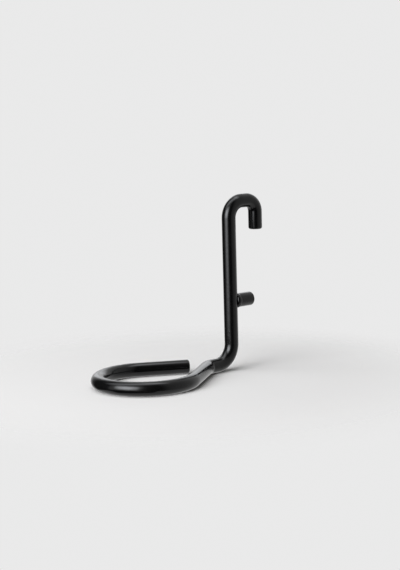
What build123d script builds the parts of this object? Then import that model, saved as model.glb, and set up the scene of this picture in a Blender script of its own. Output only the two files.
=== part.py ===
from build123d import *
import os
from math import cos, radians, sin

# A hook bent from one length of coated round wire, with a short stub of wire welded to its back.
# Millimetres, +Z up, +X to the right, -Y outwards to the user. The origin is on the centreline of
# the level neck, in the plane y = 0 that the back of the shank lies in.

# The wire, coat included
wire_diameter = 4.2
end_rounding = 0.6

# Tongue and neck: the wire is turned down over the back of what it hangs on
grip_depth = 6.4
tongue_drop = 9.0
tongue_bend = 3.6
neck_bend = 5.0

# Shank and ring, with bend radii on the centreline and the ring level
ring_drop = 48.8
foot_bend = 6.0
lead_length = 2.2
kink_bend = 4.0
kink_angle = 37.0
ring_radius = 14.0
tail_angle = 28.0
tail_length = 15.4

# Locating peg with the upset collar of its weld, which wraps a little way round the shank
peg_diameter = 4.2
peg_length = 6.0
peg_drop = 30.0
peg_end_rounding = 0.5
collar_rim = 0.2
collar_length = 0.7
collar_rounding = 0.15
collar_wrap = 0.6

# Places that follow from the sizes above
wire_radius = wire_diameter / 2
shank_y = -wire_radius
tongue_y = grip_depth + wire_radius
collar_radius = peg_diameter / 2 + collar_rim
kink_shift = kink_bend * (1 - cos(radians(kink_angle)))
leg_length = (ring_radius * cos(radians(kink_angle)) - kink_shift) / sin(radians(kink_angle))
ring_turn = 180 + kink_angle + tail_angle

os.makedirs("parts", exist_ok=True)

# Hook wire: one round section swept along the whole centreline, from the tongue to the free end.
# The kink turns the wire aside so that the ring comes round centred on the plane of the shank.
with BuildPart() as hook_wire:
    with BuildLine() as centreline:
        tongue = Line((0, tongue_y, -tongue_drop), (0, tongue_y, -tongue_bend))
        TangentArc(tongue @ 1, (0, tongue_y - tongue_bend, 0), tangent=tongue % 1)
        neck = Line((0, tongue_y - tongue_bend, 0), (0, shank_y + neck_bend, 0))
        TangentArc(neck @ 1, (0, shank_y, -neck_bend), tangent=neck % 1)
        shank = Line((0, shank_y, -neck_bend), (0, shank_y, foot_bend - ring_drop))
        foot = TangentArc(shank @ 1, (0, shank_y - foot_bend, -ring_drop), tangent=shank % 1)
        lead = Line(foot @ 1, foot @ 1 + lead_length * (foot % 1))
        kink = JernArc(lead @ 1, lead % 1, kink_bend, kink_angle)
        leg = Line(kink @ 1, kink @ 1 + leg_length * (kink % 1))
        ring = JernArc(leg @ 1, leg % 1, ring_radius, -ring_turn)
        Line(ring @ 1, ring @ 1 + tail_length * (ring % 1))
    with BuildSketch(Plane(origin=tongue @ 0, z_dir=tongue % 0)):
        Circle(wire_radius)
    sweep()
    fillet(hook_wire.faces().filter_by(GeomType.PLANE).edges(), end_rounding)

hook_wire.part.label = "hook_wire"
export_step(hook_wire.part, "parts/hook_wire.step")

# Locating peg: a stub square to the shank, coped to its round back
peg_plane = Plane(origin=(0, 0, -peg_drop), z_dir=(0, 1, 0))
with BuildPart() as locating_peg:
    with BuildSketch(peg_plane.offset(-collar_wrap)):
        Circle(collar_radius)
    extrude(amount=collar_wrap + collar_length)
    fillet(locating_peg.edges().sort_by(Axis.Y)[-1], collar_rounding)
    with BuildSketch(peg_plane):
        Circle(peg_diameter / 2)
    extrude(amount=peg_length)
    fillet(locating_peg.edges().sort_by(Axis.Y)[-1], peg_end_rounding)
    add(hook_wire.part, mode=Mode.SUBTRACT)

locating_peg.part.label = "locating_peg"
export_step(locating_peg.part, "parts/locating_peg.step")
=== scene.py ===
from math import atan2, cos, pi, radians, sin, tan

import bpy
from mathutils import Matrix, Vector


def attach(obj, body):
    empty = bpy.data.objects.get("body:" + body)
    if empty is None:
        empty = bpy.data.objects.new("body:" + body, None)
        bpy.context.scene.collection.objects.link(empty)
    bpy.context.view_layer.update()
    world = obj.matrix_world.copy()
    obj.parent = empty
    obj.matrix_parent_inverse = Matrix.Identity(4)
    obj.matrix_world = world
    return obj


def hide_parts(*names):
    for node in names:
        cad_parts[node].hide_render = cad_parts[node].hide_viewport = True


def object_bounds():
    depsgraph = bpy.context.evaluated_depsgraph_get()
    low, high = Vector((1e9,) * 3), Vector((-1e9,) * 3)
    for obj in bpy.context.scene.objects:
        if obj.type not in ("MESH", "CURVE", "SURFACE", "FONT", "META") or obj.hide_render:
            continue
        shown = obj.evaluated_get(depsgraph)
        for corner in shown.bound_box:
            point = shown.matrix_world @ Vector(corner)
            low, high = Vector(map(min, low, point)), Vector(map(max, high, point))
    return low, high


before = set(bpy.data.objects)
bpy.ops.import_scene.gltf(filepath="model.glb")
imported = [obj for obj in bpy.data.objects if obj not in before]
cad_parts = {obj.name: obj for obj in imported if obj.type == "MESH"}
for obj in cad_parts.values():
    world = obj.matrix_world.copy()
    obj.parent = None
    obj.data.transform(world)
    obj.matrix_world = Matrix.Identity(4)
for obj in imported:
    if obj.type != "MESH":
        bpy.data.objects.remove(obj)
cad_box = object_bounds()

# Hook wire
# One length of drawn steel wire, cold bent round pins into a tongue, a neck, a straight shank and an
# open ring. Both ends are cropped square and tumbled, and the whole is powder coated gloss black.
wire_radius = 0.0021
grip_depth = 0.0064
tongue_drop = 0.0090
tongue_bend = 0.0036
neck_bend = 0.0050
shank_y = -wire_radius
ring_level = -0.0488
foot_bend = 0.0060
lead_length = 0.0022
kink_bend = 0.0040
kink_angle = radians(37.0)
ring_radius = 0.0140
tail_angle = radians(28.0)
tail_length = 0.0154
leg_sideways = ring_radius * cos(kink_angle) - kink_bend * (1 - cos(kink_angle))
leg_length = leg_sideways / sin(kink_angle)
tongue_end = Vector((0.0, grip_depth + wire_radius, -tongue_drop))

# The mesh: sides and steps, the gap at which doubles merge, and the angle up to which it is smooth
sides_round_wire = 64
bend_step = radians(3.0)
least_bend_steps = 8
merge_gap = 1e-6
smooth_below = radians(40.0)

bpy.ops.object.select_all(action="DESELECT")
bpy.ops.mesh.primitive_circle_add(vertices=sides_round_wire, radius=wire_radius, location=tongue_end)
hook_wire = bpy.context.object
hook_wire.name = "bent_hook_wire"
bpy.ops.object.transform_apply(location=True, rotation=True, scale=True)
bpy.ops.object.mode_set(mode="EDIT")
bpy.ops.mesh.select_mode(type="EDGE")
bpy.ops.mesh.select_all(action="SELECT")


def run_straight(tip, step):
    # draws the open end of the wire straight on, and tells where its middle has come to
    bpy.ops.mesh.extrude_region_move(TRANSFORM_OT_translate={"value": step})
    return tip + Vector(step)


def bend_round(tip, pin, axis, turn):
    # bends the open end round a pin; spin turns the other way to the right-hand rule
    steps = max(least_bend_steps, round(abs(turn) / bend_step))
    bpy.ops.mesh.spin(steps=steps, angle=-turn, center=pin, axis=axis)
    return Vector(pin) + Matrix.Rotation(turn, 3, Vector(axis)) @ (tip - Vector(pin))


sideways = (1.0, 0.0, 0.0)
upright = (0.0, 0.0, 1.0)
quarter = pi / 2

tip = run_straight(tongue_end, (0, 0, -tongue_bend - tongue_end.z))
tip = bend_round(tip, (0, tongue_end.y - tongue_bend, -tongue_bend), sideways, quarter)
tip = run_straight(tip, (0, shank_y + neck_bend - tip.y, 0))
tip = bend_round(tip, (0, shank_y + neck_bend, -neck_bend), sideways, quarter)
tip = run_straight(tip, (0, 0, ring_level + foot_bend - tip.z))
tip = bend_round(tip, (0, shank_y - foot_bend, ring_level + foot_bend), sideways, -quarter)
tip = run_straight(tip, (0, -lead_length, 0))
tip = bend_round(tip, (kink_bend, tip.y, ring_level), upright, kink_angle)
tip = run_straight(tip, (leg_length * sin(kink_angle), -leg_length * cos(kink_angle), 0))
ring_pin = (0, tip.y - ring_radius * sin(kink_angle), ring_level)
tip = bend_round(tip, ring_pin, upright, -(pi + kink_angle + tail_angle))
free_end = run_straight(tip, (tail_length * sin(tail_angle), tail_length * cos(tail_angle), 0))
free_end_heading = Vector((sin(tail_angle), cos(tail_angle), 0.0))

bpy.ops.mesh.select_all(action="SELECT")
bpy.ops.mesh.remove_doubles(threshold=merge_gap)

end_rounding = 0.0006
end_rounding_steps = 6
end_face_margin = 0.0003
end_plane_gap = 1e-5
end_reach = 1.2 * wire_radius


def close_cropped_end(piece, middle, heading, rounding):
    # caps the open end with a face, rounds its edge and holds the face flat with a thin inset
    bpy.ops.mesh.select_all(action="DESELECT")
    bpy.ops.object.mode_set(mode="OBJECT")
    for v in piece.data.vertices:
        reach = v.co - middle
        v.select = abs(reach.dot(heading)) < end_plane_gap and reach.length < end_reach
    bpy.ops.object.mode_set(mode="EDIT")
    bpy.ops.mesh.select_mode(type="VERT")
    bpy.ops.mesh.edge_face_add()
    bpy.ops.mesh.select_mode(type="EDGE")
    bpy.ops.mesh.bevel(offset=rounding, segments=end_rounding_steps, affect="EDGES")
    bpy.ops.mesh.select_all(action="DESELECT")
    bpy.ops.object.mode_set(mode="OBJECT")
    for f in piece.data.polygons:
        reach = f.center - middle
        f.select = len(f.vertices) == sides_round_wire and reach.length < wire_radius
    bpy.ops.object.mode_set(mode="EDIT")
    bpy.ops.mesh.select_mode(type="FACE")
    bpy.ops.mesh.inset(thickness=end_face_margin)
    bpy.ops.mesh.select_all(action="DESELECT")


close_cropped_end(hook_wire, tongue_end, Vector((0.0, 0.0, -1.0)), end_rounding)
close_cropped_end(hook_wire, free_end, free_end_heading, end_rounding)
bpy.ops.mesh.select_all(action="SELECT")
bpy.ops.mesh.normals_make_consistent(inside=False)
bpy.ops.object.mode_set(mode="OBJECT")
bpy.ops.object.shade_smooth_by_angle(angle=smooth_below)

# The baked skin of the coat: faint orange peel, a little unevenness in its gloss and in its black
coat_ior = 1.4
peel_detail = 1.0
peel_fineness = 0.35
cloud_scale = 170.0
cloud_detail = 3.0
cloud_low = 0.3
cloud_high = 0.7

coat_skin = bpy.data.node_groups.new("powder_coat_skin", "ShaderNodeTree")
for socket_name, socket_kind in (
    ("Deep Black", "NodeSocketColor"),
    ("Thin Black", "NodeSocketColor"),
    ("Peel Scale", "NodeSocketFloat"),
    ("Glossy", "NodeSocketFloat"),
    ("Dull", "NodeSocketFloat"),
):
    coat_skin.interface.new_socket(socket_name, in_out="INPUT", socket_type=socket_kind)
for socket_name, socket_kind in (
    ("Colour", "NodeSocketColor"),
    ("Roughness", "NodeSocketFloat"),
    ("Height", "NodeSocketFloat"),
):
    coat_skin.interface.new_socket(socket_name, in_out="OUTPUT", socket_type=socket_kind)
skin_in = coat_skin.nodes.new("NodeGroupInput")
skin_out = coat_skin.nodes.new("NodeGroupOutput")
place = coat_skin.nodes.new("ShaderNodeTexCoord")

peel = coat_skin.nodes.new("ShaderNodeTexNoise")
peel.inputs["Detail"].default_value = peel_detail
peel.inputs["Roughness"].default_value = peel_fineness
coat_skin.links.new(place.outputs["Object"], peel.inputs["Vector"])
coat_skin.links.new(skin_in.outputs["Peel Scale"], peel.inputs["Scale"])
coat_skin.links.new(peel.outputs["Fac"], skin_out.inputs["Height"])

cloud = coat_skin.nodes.new("ShaderNodeTexNoise")
cloud.inputs["Scale"].default_value = cloud_scale
cloud.inputs["Detail"].default_value = cloud_detail
coat_skin.links.new(place.outputs["Object"], cloud.inputs["Vector"])
cloud_spread = coat_skin.nodes.new("ShaderNodeMapRange")
cloud_spread.inputs["From Min"].default_value = cloud_low
cloud_spread.inputs["From Max"].default_value = cloud_high
coat_skin.links.new(cloud.outputs["Fac"], cloud_spread.inputs["Value"])

gloss = coat_skin.nodes.new("ShaderNodeMix")
gloss.data_type = "FLOAT"
coat_skin.links.new(cloud_spread.outputs["Result"], gloss.inputs["Factor"])
coat_skin.links.new(skin_in.outputs["Glossy"], gloss.inputs["A"])
coat_skin.links.new(skin_in.outputs["Dull"], gloss.inputs["B"])
coat_skin.links.new(gloss.outputs["Result"], skin_out.inputs["Roughness"])

# A mix node takes its two colours in sockets 6 and 7, and gives the mixed one in output 2
black = coat_skin.nodes.new("ShaderNodeMix")
black.data_type = "RGBA"
coat_skin.links.new(cloud_spread.outputs["Result"], black.inputs["Factor"])
coat_skin.links.new(skin_in.outputs["Deep Black"], black.inputs[6])
coat_skin.links.new(skin_in.outputs["Thin Black"], black.inputs[7])
coat_skin.links.new(black.outputs[2], skin_out.inputs["Colour"])


def powder_coat(name, deep, thin, peel_scale, peel_height, glossy, dull):
    # gloss black paint with that skin, at the piece's own peel and gloss
    coat = bpy.data.materials.new(name)
    coat.use_nodes = True
    nodes = coat.node_tree.nodes
    links = coat.node_tree.links
    paint = nodes["Principled BSDF"]
    paint.inputs["IOR"].default_value = coat_ior
    skin = nodes.new("ShaderNodeGroup")
    skin.node_tree = coat_skin
    skin.inputs["Deep Black"].default_value = deep
    skin.inputs["Thin Black"].default_value = thin
    skin.inputs["Peel Scale"].default_value = peel_scale
    skin.inputs["Glossy"].default_value = glossy
    skin.inputs["Dull"].default_value = dull
    ripple = nodes.new("ShaderNodeBump")
    ripple.inputs["Distance"].default_value = peel_height
    links.new(skin.outputs["Height"], ripple.inputs["Height"])
    links.new(ripple.outputs["Normal"], paint.inputs["Normal"])
    links.new(skin.outputs["Colour"], paint.inputs["Base Color"])
    links.new(skin.outputs["Roughness"], paint.inputs["Roughness"])
    return coat


wire_coat = powder_coat(
    "black_coat_on_wire",
    deep=(0.0020, 0.0020, 0.0021, 1.0),
    thin=(0.0036, 0.0035, 0.0034, 1.0),
    peel_scale=750.0,
    peel_height=0.000014,
    glossy=0.13,
    dull=0.18,
)
hook_wire.data.materials.append(wire_coat)
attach(hook_wire, "root")
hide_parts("hook_wire")

# Locating peg
# A short stub of the same wire, resistance welded square to the back of the shank before coating.
# Its end has sunk a little into the shank and swelled into a low, uneven bead that the coat covers.
peg_length = 0.0060
peg_drop = 0.0300
peg_end = Vector((0.0, peg_length, -peg_drop))
peg_end_rounding = 0.0005
bead_middle = 0.00005
bead_swell = 0.0002
bead_outer_length = 0.0007
bead_root_length = 0.0008
bead_root_radius = 0.0015
bead_root_swell = wire_radius + bead_swell - bead_root_radius
bead_steps = 6
plain_stub_end = bead_middle + 2 * bead_outer_length
uneven_below = bead_middle + 0.9 * bead_outer_length
# lumps above the rest level stand out from the bead, and the others sink in
bead_unevenness = 0.00012
bead_lump = 0.0014
bead_lump_rest = 0.7

bpy.ops.object.select_all(action="DESELECT")
bpy.ops.mesh.primitive_circle_add(
    vertices=sides_round_wire, radius=wire_radius, location=peg_end, rotation=(quarter, 0, 0)
)
locating_peg = bpy.context.object
locating_peg.name = "welded_locating_peg"
bpy.ops.object.transform_apply(location=True, rotation=True, scale=True)
bpy.ops.object.mode_set(mode="EDIT")
bpy.ops.mesh.select_mode(type="EDGE")
bpy.ops.mesh.select_all(action="SELECT")

# Each loop has a place along the stub and a radius: the plain stub, the bead's crown and its root
stub_loops = [(peg_end.y, wire_radius), (plain_stub_end, wire_radius)]
for step in range(bead_steps + 1):
    turn = quarter * step / bead_steps
    crown_radius = wire_radius + bead_swell * sin(turn)
    stub_loops.append((bead_middle + bead_outer_length * cos(turn), crown_radius))
for step in range(1, bead_steps + 1):
    turn = quarter * step / bead_steps
    root_radius = bead_root_radius + bead_root_swell * cos(turn)
    stub_loops.append((bead_middle - bead_root_length * sin(turn), root_radius))
for (from_place, from_radius), (to_place, to_radius) in zip(stub_loops, stub_loops[1:]):
    bpy.ops.mesh.extrude_region_move(TRANSFORM_OT_translate={"value": (0, to_place - from_place, 0)})
    swell = to_radius / from_radius
    bpy.ops.transform.resize(value=(swell, 1.0, swell), center_override=(0.0, to_place, peg_end.z))
bpy.ops.mesh.edge_face_add()
close_cropped_end(locating_peg, peg_end, Vector((0.0, 1.0, 0.0)), peg_end_rounding)
bpy.ops.mesh.select_all(action="SELECT")
bpy.ops.mesh.normals_make_consistent(inside=False)
bpy.ops.object.mode_set(mode="OBJECT")

bead = locating_peg.vertex_groups.new(name="bead")
for v in locating_peg.data.vertices:
    if v.co.y < uneven_below:
        bead.add([v.index], 1.0, "REPLACE")
lumps = bpy.data.textures.new("weld_lumps", "CLOUDS")
lumps.noise_scale = bead_lump
uneven = locating_peg.modifiers.new("uneven_bead", "DISPLACE")
uneven.texture = lumps
uneven.texture_coords = "LOCAL"
uneven.vertex_group = "bead"
uneven.mid_level = bead_lump_rest
uneven.strength = bead_unevenness
bpy.ops.object.modifier_apply(modifier=uneven.name)
bpy.ops.object.shade_smooth_by_angle(angle=smooth_below)

weld_coat = powder_coat(
    "black_coat_on_weld",
    deep=(0.0020, 0.0020, 0.0021, 1.0),
    thin=(0.0040, 0.0039, 0.0037, 1.0),
    peel_scale=900.0,
    peel_height=0.000018,
    glossy=0.15,
    dull=0.22,
)
locating_peg.data.materials.append(weld_coat)
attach(locating_peg, "root")
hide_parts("locating_peg")

# Floor
# A round, matt pale sheet that the ring stands on. It takes the hook's shadow but isn't mirrored in the
# coat, and it fades out to the pale background towards its rim, so that no edge shows.
floor_gap = 0.00002
floor_radius = 0.095
floor_rim = 0.04
floor_fade_start = 0.40 * floor_radius
floor_sides = 96
floor_colour = (0.77, 0.747, 0.718, 1.0)
stage_y = -0.02

bpy.ops.object.select_all(action="DESELECT")
bpy.ops.mesh.primitive_circle_add(
    vertices=floor_sides, radius=floor_radius, fill_type="NGON",
    location=(0.0, stage_y, cad_box[0][2] - floor_gap),
)
floor = bpy.context.object
floor.name = "pale_floor"
floor.visible_glossy = False
bpy.ops.object.mode_set(mode="EDIT")
bpy.ops.mesh.select_all(action="SELECT")
bpy.ops.mesh.inset(thickness=floor_rim)
bpy.ops.object.mode_set(mode="OBJECT")

pale = bpy.data.materials.new("pale_floor_paint")
pale.use_nodes = True
pale_nodes = pale.node_tree.nodes
pale_links = pale.node_tree.links
pale_nodes.clear()
pale_out = pale_nodes.new("ShaderNodeOutputMaterial")
pale_matt = pale_nodes.new("ShaderNodeBsdfDiffuse")
pale_matt.inputs["Color"].default_value = floor_colour
pale_clear = pale_nodes.new("ShaderNodeBsdfTransparent")
pale_fade = pale_nodes.new("ShaderNodeMixShader")
from_middle = pale_nodes.new("ShaderNodeTexCoord")
far = pale_nodes.new("ShaderNodeVectorMath")
far.operation = "LENGTH"
rim_fade = pale_nodes.new("ShaderNodeMapRange")
rim_fade.interpolation_type = "SMOOTHSTEP"
rim_fade.inputs["From Min"].default_value = floor_fade_start
rim_fade.inputs["From Max"].default_value = floor_radius
pale_links.new(from_middle.outputs["Object"], far.inputs[0])
pale_links.new(far.outputs["Value"], rim_fade.inputs["Value"])
pale_links.new(rim_fade.outputs["Result"], pale_fade.inputs["Fac"])
pale_links.new(pale_matt.outputs["BSDF"], pale_fade.inputs[1])
pale_links.new(pale_clear.outputs["BSDF"], pale_fade.inputs[2])
pale_links.new(pale_fade.outputs["Shader"], pale_out.inputs["Surface"])
floor.data.materials.append(pale)

# Light
# A large soft box in front, one overhead, one over the back and two on the left, all with scrims that
# fade at their edges. Dark drapes round about and a dark skirt low in front keep the black coat black.
lit_spot = Vector((0.0, stage_y, -0.025))
lamp_tint = (0.965, 0.995, 1.04)
# the overhead box hangs nearer, so that the drapes don't hide it from the coat
lamp_distance = 0.8
overhead_distance = 0.55


def fade(nodes, stops):
    # a strip of brightness from one end to the other, through the places and levels in stops
    ramp = nodes.new("ShaderNodeValToRGB")
    ramp.color_ramp.interpolation = "EASE"
    while len(ramp.color_ramp.elements) < len(stops):
        ramp.color_ramp.elements.new(1.0)
    for element, (place, level) in zip(ramp.color_ramp.elements, stops):
        element.position = place
        element.color = (level, level, level, 1.0)
    return ramp


def soft_box(name, distance, round_from_front, lift, half_width, half_height, radiance, across, upwards):
    # place and size are angles in degrees seen from the hook; radiance 1 is a white card in plain light
    turned = radians(round_from_front)
    lifted = radians(lift)
    heading = Vector((sin(turned) * cos(lifted), -cos(turned) * cos(lifted), sin(lifted)))
    bpy.ops.object.select_all(action="DESELECT")
    bpy.ops.object.light_add(type="AREA", location=lit_spot + distance * heading)
    lamp = bpy.context.object
    lamp.name = name
    lamp.rotation_euler = heading.to_track_quat("Z", "Y").to_euler()
    lamp.data.shape = "RECTANGLE"
    lamp.data.size = 2 * distance * tan(radians(half_width))
    lamp.data.size_y = 2 * distance * tan(radians(half_height))
    lamp.data.energy = radiance * pi * lamp.data.size * lamp.data.size_y
    lamp.data.color = lamp_tint
    lamp.data.use_nodes = True
    nodes = lamp.data.node_tree.nodes
    links = lamp.data.node_tree.links
    on_scrim = nodes.new("ShaderNodeNewGeometry")
    sides = nodes.new("ShaderNodeSeparateXYZ")
    fade_across = fade(nodes, across)
    fade_upwards = fade(nodes, upwards)
    glow = nodes.new("ShaderNodeMath")
    glow.operation = "MULTIPLY"
    links.new(on_scrim.outputs["Parametric"], sides.inputs["Vector"])
    links.new(sides.outputs["X"], fade_across.inputs["Fac"])
    links.new(sides.outputs["Y"], fade_upwards.inputs["Fac"])
    links.new(fade_across.outputs["Color"], glow.inputs[0])
    links.new(fade_upwards.outputs["Color"], glow.inputs[1])
    links.new(glow.outputs["Value"], nodes["Emission"].inputs["Strength"])


even_fade = ((0.0, 0.0), (0.35, 1.0), (0.65, 1.0), (1.0, 0.0))
soft_box(
    "front_soft_box", lamp_distance,
    round_from_front=12.0, lift=21.0, half_width=31.0, half_height=31.0, radiance=9.8,
    across=((0.0, 0.0), (0.12, 0.45), (0.25, 0.8), (0.40, 1.0), (0.55, 1.0), (0.70, 0.6), (1.0, 0.0)),
    upwards=((0.0, 0.1), (0.14, 0.45), (0.28, 0.75), (0.42, 1.0), (0.62, 1.0), (0.80, 0.45), (1.0, 0.05)),
)
soft_box(
    "top_soft_box", overhead_distance,
    round_from_front=-42.0, lift=66.0, half_width=21.0, half_height=40.0, radiance=2.8,
    across=even_fade,
    upwards=(
        (0.0, 0.0), (0.07, 0.05), (0.16, 0.27), (0.24, 0.50), (0.31, 0.72), (0.44, 0.93), (0.55, 1.0),
        (0.65, 0.80), (0.85, 0.70), (1.0, 0.0),
    ),
)
soft_box(
    "top_back_soft_box", lamp_distance,
    round_from_front=-175.0, lift=77.0, half_width=30.0, half_height=10.0, radiance=2.1,
    across=even_fade, upwards=even_fade,
)
soft_box(
    "left_soft_box", lamp_distance,
    round_from_front=-115.0, lift=20.0, half_width=12.0, half_height=19.0, radiance=1.2,
    across=even_fade, upwards=even_fade,
)
soft_box(
    "left_back_soft_box", lamp_distance,
    round_from_front=-143.0, lift=18.0, half_width=24.0, half_height=15.0, radiance=1.0,
    across=even_fade, upwards=even_fade,
)

cloth_sides = 96
cloth_black = (0.02, 0.02, 0.02, 1.0)


def hang_cloth(name, radius, level, height):
    # an open tube round the hook that shows only in what the coat mirrors, and throws no shadow
    bpy.ops.object.select_all(action="DESELECT")
    bpy.ops.mesh.primitive_cylinder_add(
        vertices=cloth_sides, radius=radius, depth=height, end_fill_type="NOTHING",
        location=(0.0, stage_y, level),
    )
    cloth = bpy.context.object
    cloth.name = name
    cloth.visible_camera = False
    cloth.visible_diffuse = False
    cloth.visible_shadow = False
    return cloth


# The drapes are open to the front box and towards the left at the back, and thin out upwards
drape_radius = 0.6
drape_height = 3.0
drape_level = 1.08
drape_thins_from = -0.3
drape = hang_cloth("dark_side_drapes", drape_radius, drape_level, drape_height)
drape_cloth = bpy.data.materials.new("dark_drape_cloth")
drape_cloth.use_nodes = True
cloth_nodes = drape_cloth.node_tree.nodes
cloth_links = drape_cloth.node_tree.links
cloth_nodes.clear()
cloth_out = cloth_nodes.new("ShaderNodeOutputMaterial")
cloth_dark = cloth_nodes.new("ShaderNodeBsdfDiffuse")
cloth_dark.inputs["Color"].default_value = cloth_black
cloth_clear = cloth_nodes.new("ShaderNodeBsdfTransparent")
cloth_mix = cloth_nodes.new("ShaderNodeMixShader")
cloth_place = cloth_nodes.new("ShaderNodeTexCoord")
round_about = cloth_nodes.new("ShaderNodeTexGradient")
round_about.gradient_type = "RADIAL"
# from the left, 0, by the front, 0.25, the right, 0.5, and the back, 0.75, to the left again
cloth_round = fade(cloth_nodes, (
    (0.0, 0.78), (0.03, 1.0), (0.150, 1.0), (0.190, 0.0), (0.328, 0.0), (0.375, 0.9), (0.40, 1.0),
    (0.47, 1.0), (0.53, 0.55), (0.57, 0.36), (0.67, 0.22), (0.73, 0.0), (0.945, 0.0), (0.98, 0.4),
    (1.0, 0.78),
))
cloth_axes = cloth_nodes.new("ShaderNodeSeparateXYZ")
cloth_top = cloth_nodes.new("ShaderNodeMapRange")
cloth_top.interpolation_type = "SMOOTHSTEP"
cloth_top.inputs["From Min"].default_value = drape_thins_from
cloth_top.inputs["From Max"].default_value = drape_height / 2
cloth_top.inputs["To Min"].default_value = 1.0
cloth_top.inputs["To Max"].default_value = 0.0
cloth_cover = cloth_nodes.new("ShaderNodeMath")
cloth_cover.operation = "MULTIPLY"
cloth_links.new(cloth_place.outputs["Object"], round_about.inputs["Vector"])
cloth_links.new(cloth_place.outputs["Object"], cloth_axes.inputs["Vector"])
cloth_links.new(round_about.outputs["Fac"], cloth_round.inputs["Fac"])
cloth_links.new(cloth_axes.outputs["Z"], cloth_top.inputs["Value"])
cloth_links.new(cloth_round.outputs["Color"], cloth_cover.inputs[0])
cloth_links.new(cloth_top.outputs["Result"], cloth_cover.inputs[1])
cloth_links.new(cloth_cover.outputs["Value"], cloth_mix.inputs["Fac"])
cloth_links.new(cloth_clear.outputs["BSDF"], cloth_mix.inputs[1])
cloth_links.new(cloth_dark.outputs["BSDF"], cloth_mix.inputs[2])
cloth_links.new(cloth_mix.outputs["Shader"], cloth_out.inputs["Surface"])
drape.data.materials.append(drape_cloth)

# The skirt hangs below the front box, and the coat mirrors it as a black band under the highlight
skirt_radius = 0.58
skirt_top = -0.216
skirt_bottom = -0.79
skirt_left = radians(-30.0)
skirt_right = radians(72.0)
skirt_roughness = 0.9
skirt = hang_cloth(
    "dark_front_skirt", skirt_radius, (skirt_top + skirt_bottom) / 2, skirt_top - skirt_bottom
)
bpy.ops.object.mode_set(mode="EDIT")
bpy.ops.mesh.select_mode(type="FACE")
bpy.ops.mesh.select_all(action="DESELECT")
bpy.ops.object.mode_set(mode="OBJECT")
for f in skirt.data.polygons:
    f.select = not skirt_left < atan2(f.center.x, -f.center.y) < skirt_right
bpy.ops.object.mode_set(mode="EDIT")
bpy.ops.mesh.delete(type="FACE")
bpy.ops.object.mode_set(mode="OBJECT")
skirt_cloth = bpy.data.materials.new("dark_skirt_cloth")
skirt_cloth.use_nodes = True
skirt_paint = skirt_cloth.node_tree.nodes["Principled BSDF"]
skirt_paint.inputs["Base Color"].default_value = cloth_black
skirt_paint.inputs["Roughness"].default_value = skirt_roughness
skirt.data.materials.append(skirt_cloth)

# The room is pale where it is seen or mirrored, and only fills the shadows a little otherwise
pale_room = 0.82
fill_light = 0.12
white = (1.0, 1.0, 1.0, 1.0)
world = bpy.data.worlds.new("pale_room")
bpy.context.scene.world = world
world.use_nodes = True
room_nodes = world.node_tree.nodes
room_links = world.node_tree.links
room = room_nodes["Background"]
room.inputs["Color"].default_value = white
room_rays = room_nodes.new("ShaderNodeLightPath")
seen_or_mirrored = room_nodes.new("ShaderNodeMath")
seen_or_mirrored.operation = "MAXIMUM"
seen_at_all = room_nodes.new("ShaderNodeMath")
seen_at_all.operation = "MAXIMUM"
room_level = room_nodes.new("ShaderNodeMapRange")
room_level.inputs["To Min"].default_value = fill_light
room_level.inputs["To Max"].default_value = pale_room
room_links.new(room_rays.outputs["Is Camera Ray"], seen_or_mirrored.inputs[0])
room_links.new(room_rays.outputs["Is Glossy Ray"], seen_or_mirrored.inputs[1])
room_links.new(seen_or_mirrored.outputs["Value"], seen_at_all.inputs[0])
room_links.new(room_rays.outputs["Is Transmission Ray"], seen_at_all.inputs[1])
room_links.new(seen_at_all.outputs["Value"], room_level.inputs["Value"])
room_links.new(room_level.outputs["Result"], room.inputs["Strength"])

# Camera
# It stands in front, well to the right and a little above the ring, and looks through a long lens, so
# that the ring opens as a narrow oval to the left of the shank.
camera_place = (0.33976, -0.29532, 0.04027)
camera_tilt = radians(81.7432)
camera_roll = radians(1.5041)
camera_turn = radians(50.1446)
camera_lens = 95.22
camera_film_width = 36.0
camera_nearest = 0.01

bpy.ops.object.select_all(action="DESELECT")
bpy.ops.object.camera_add(location=camera_place)
camera = bpy.context.object
camera.rotation_euler = (camera_tilt, camera_roll, camera_turn)
camera.data.sensor_width = camera_film_width
camera.data.lens = camera_lens
camera.data.clip_start = camera_nearest
bpy.context.scene.camera = camera
bpy.context.scene.view_settings.view_transform = "Standard"
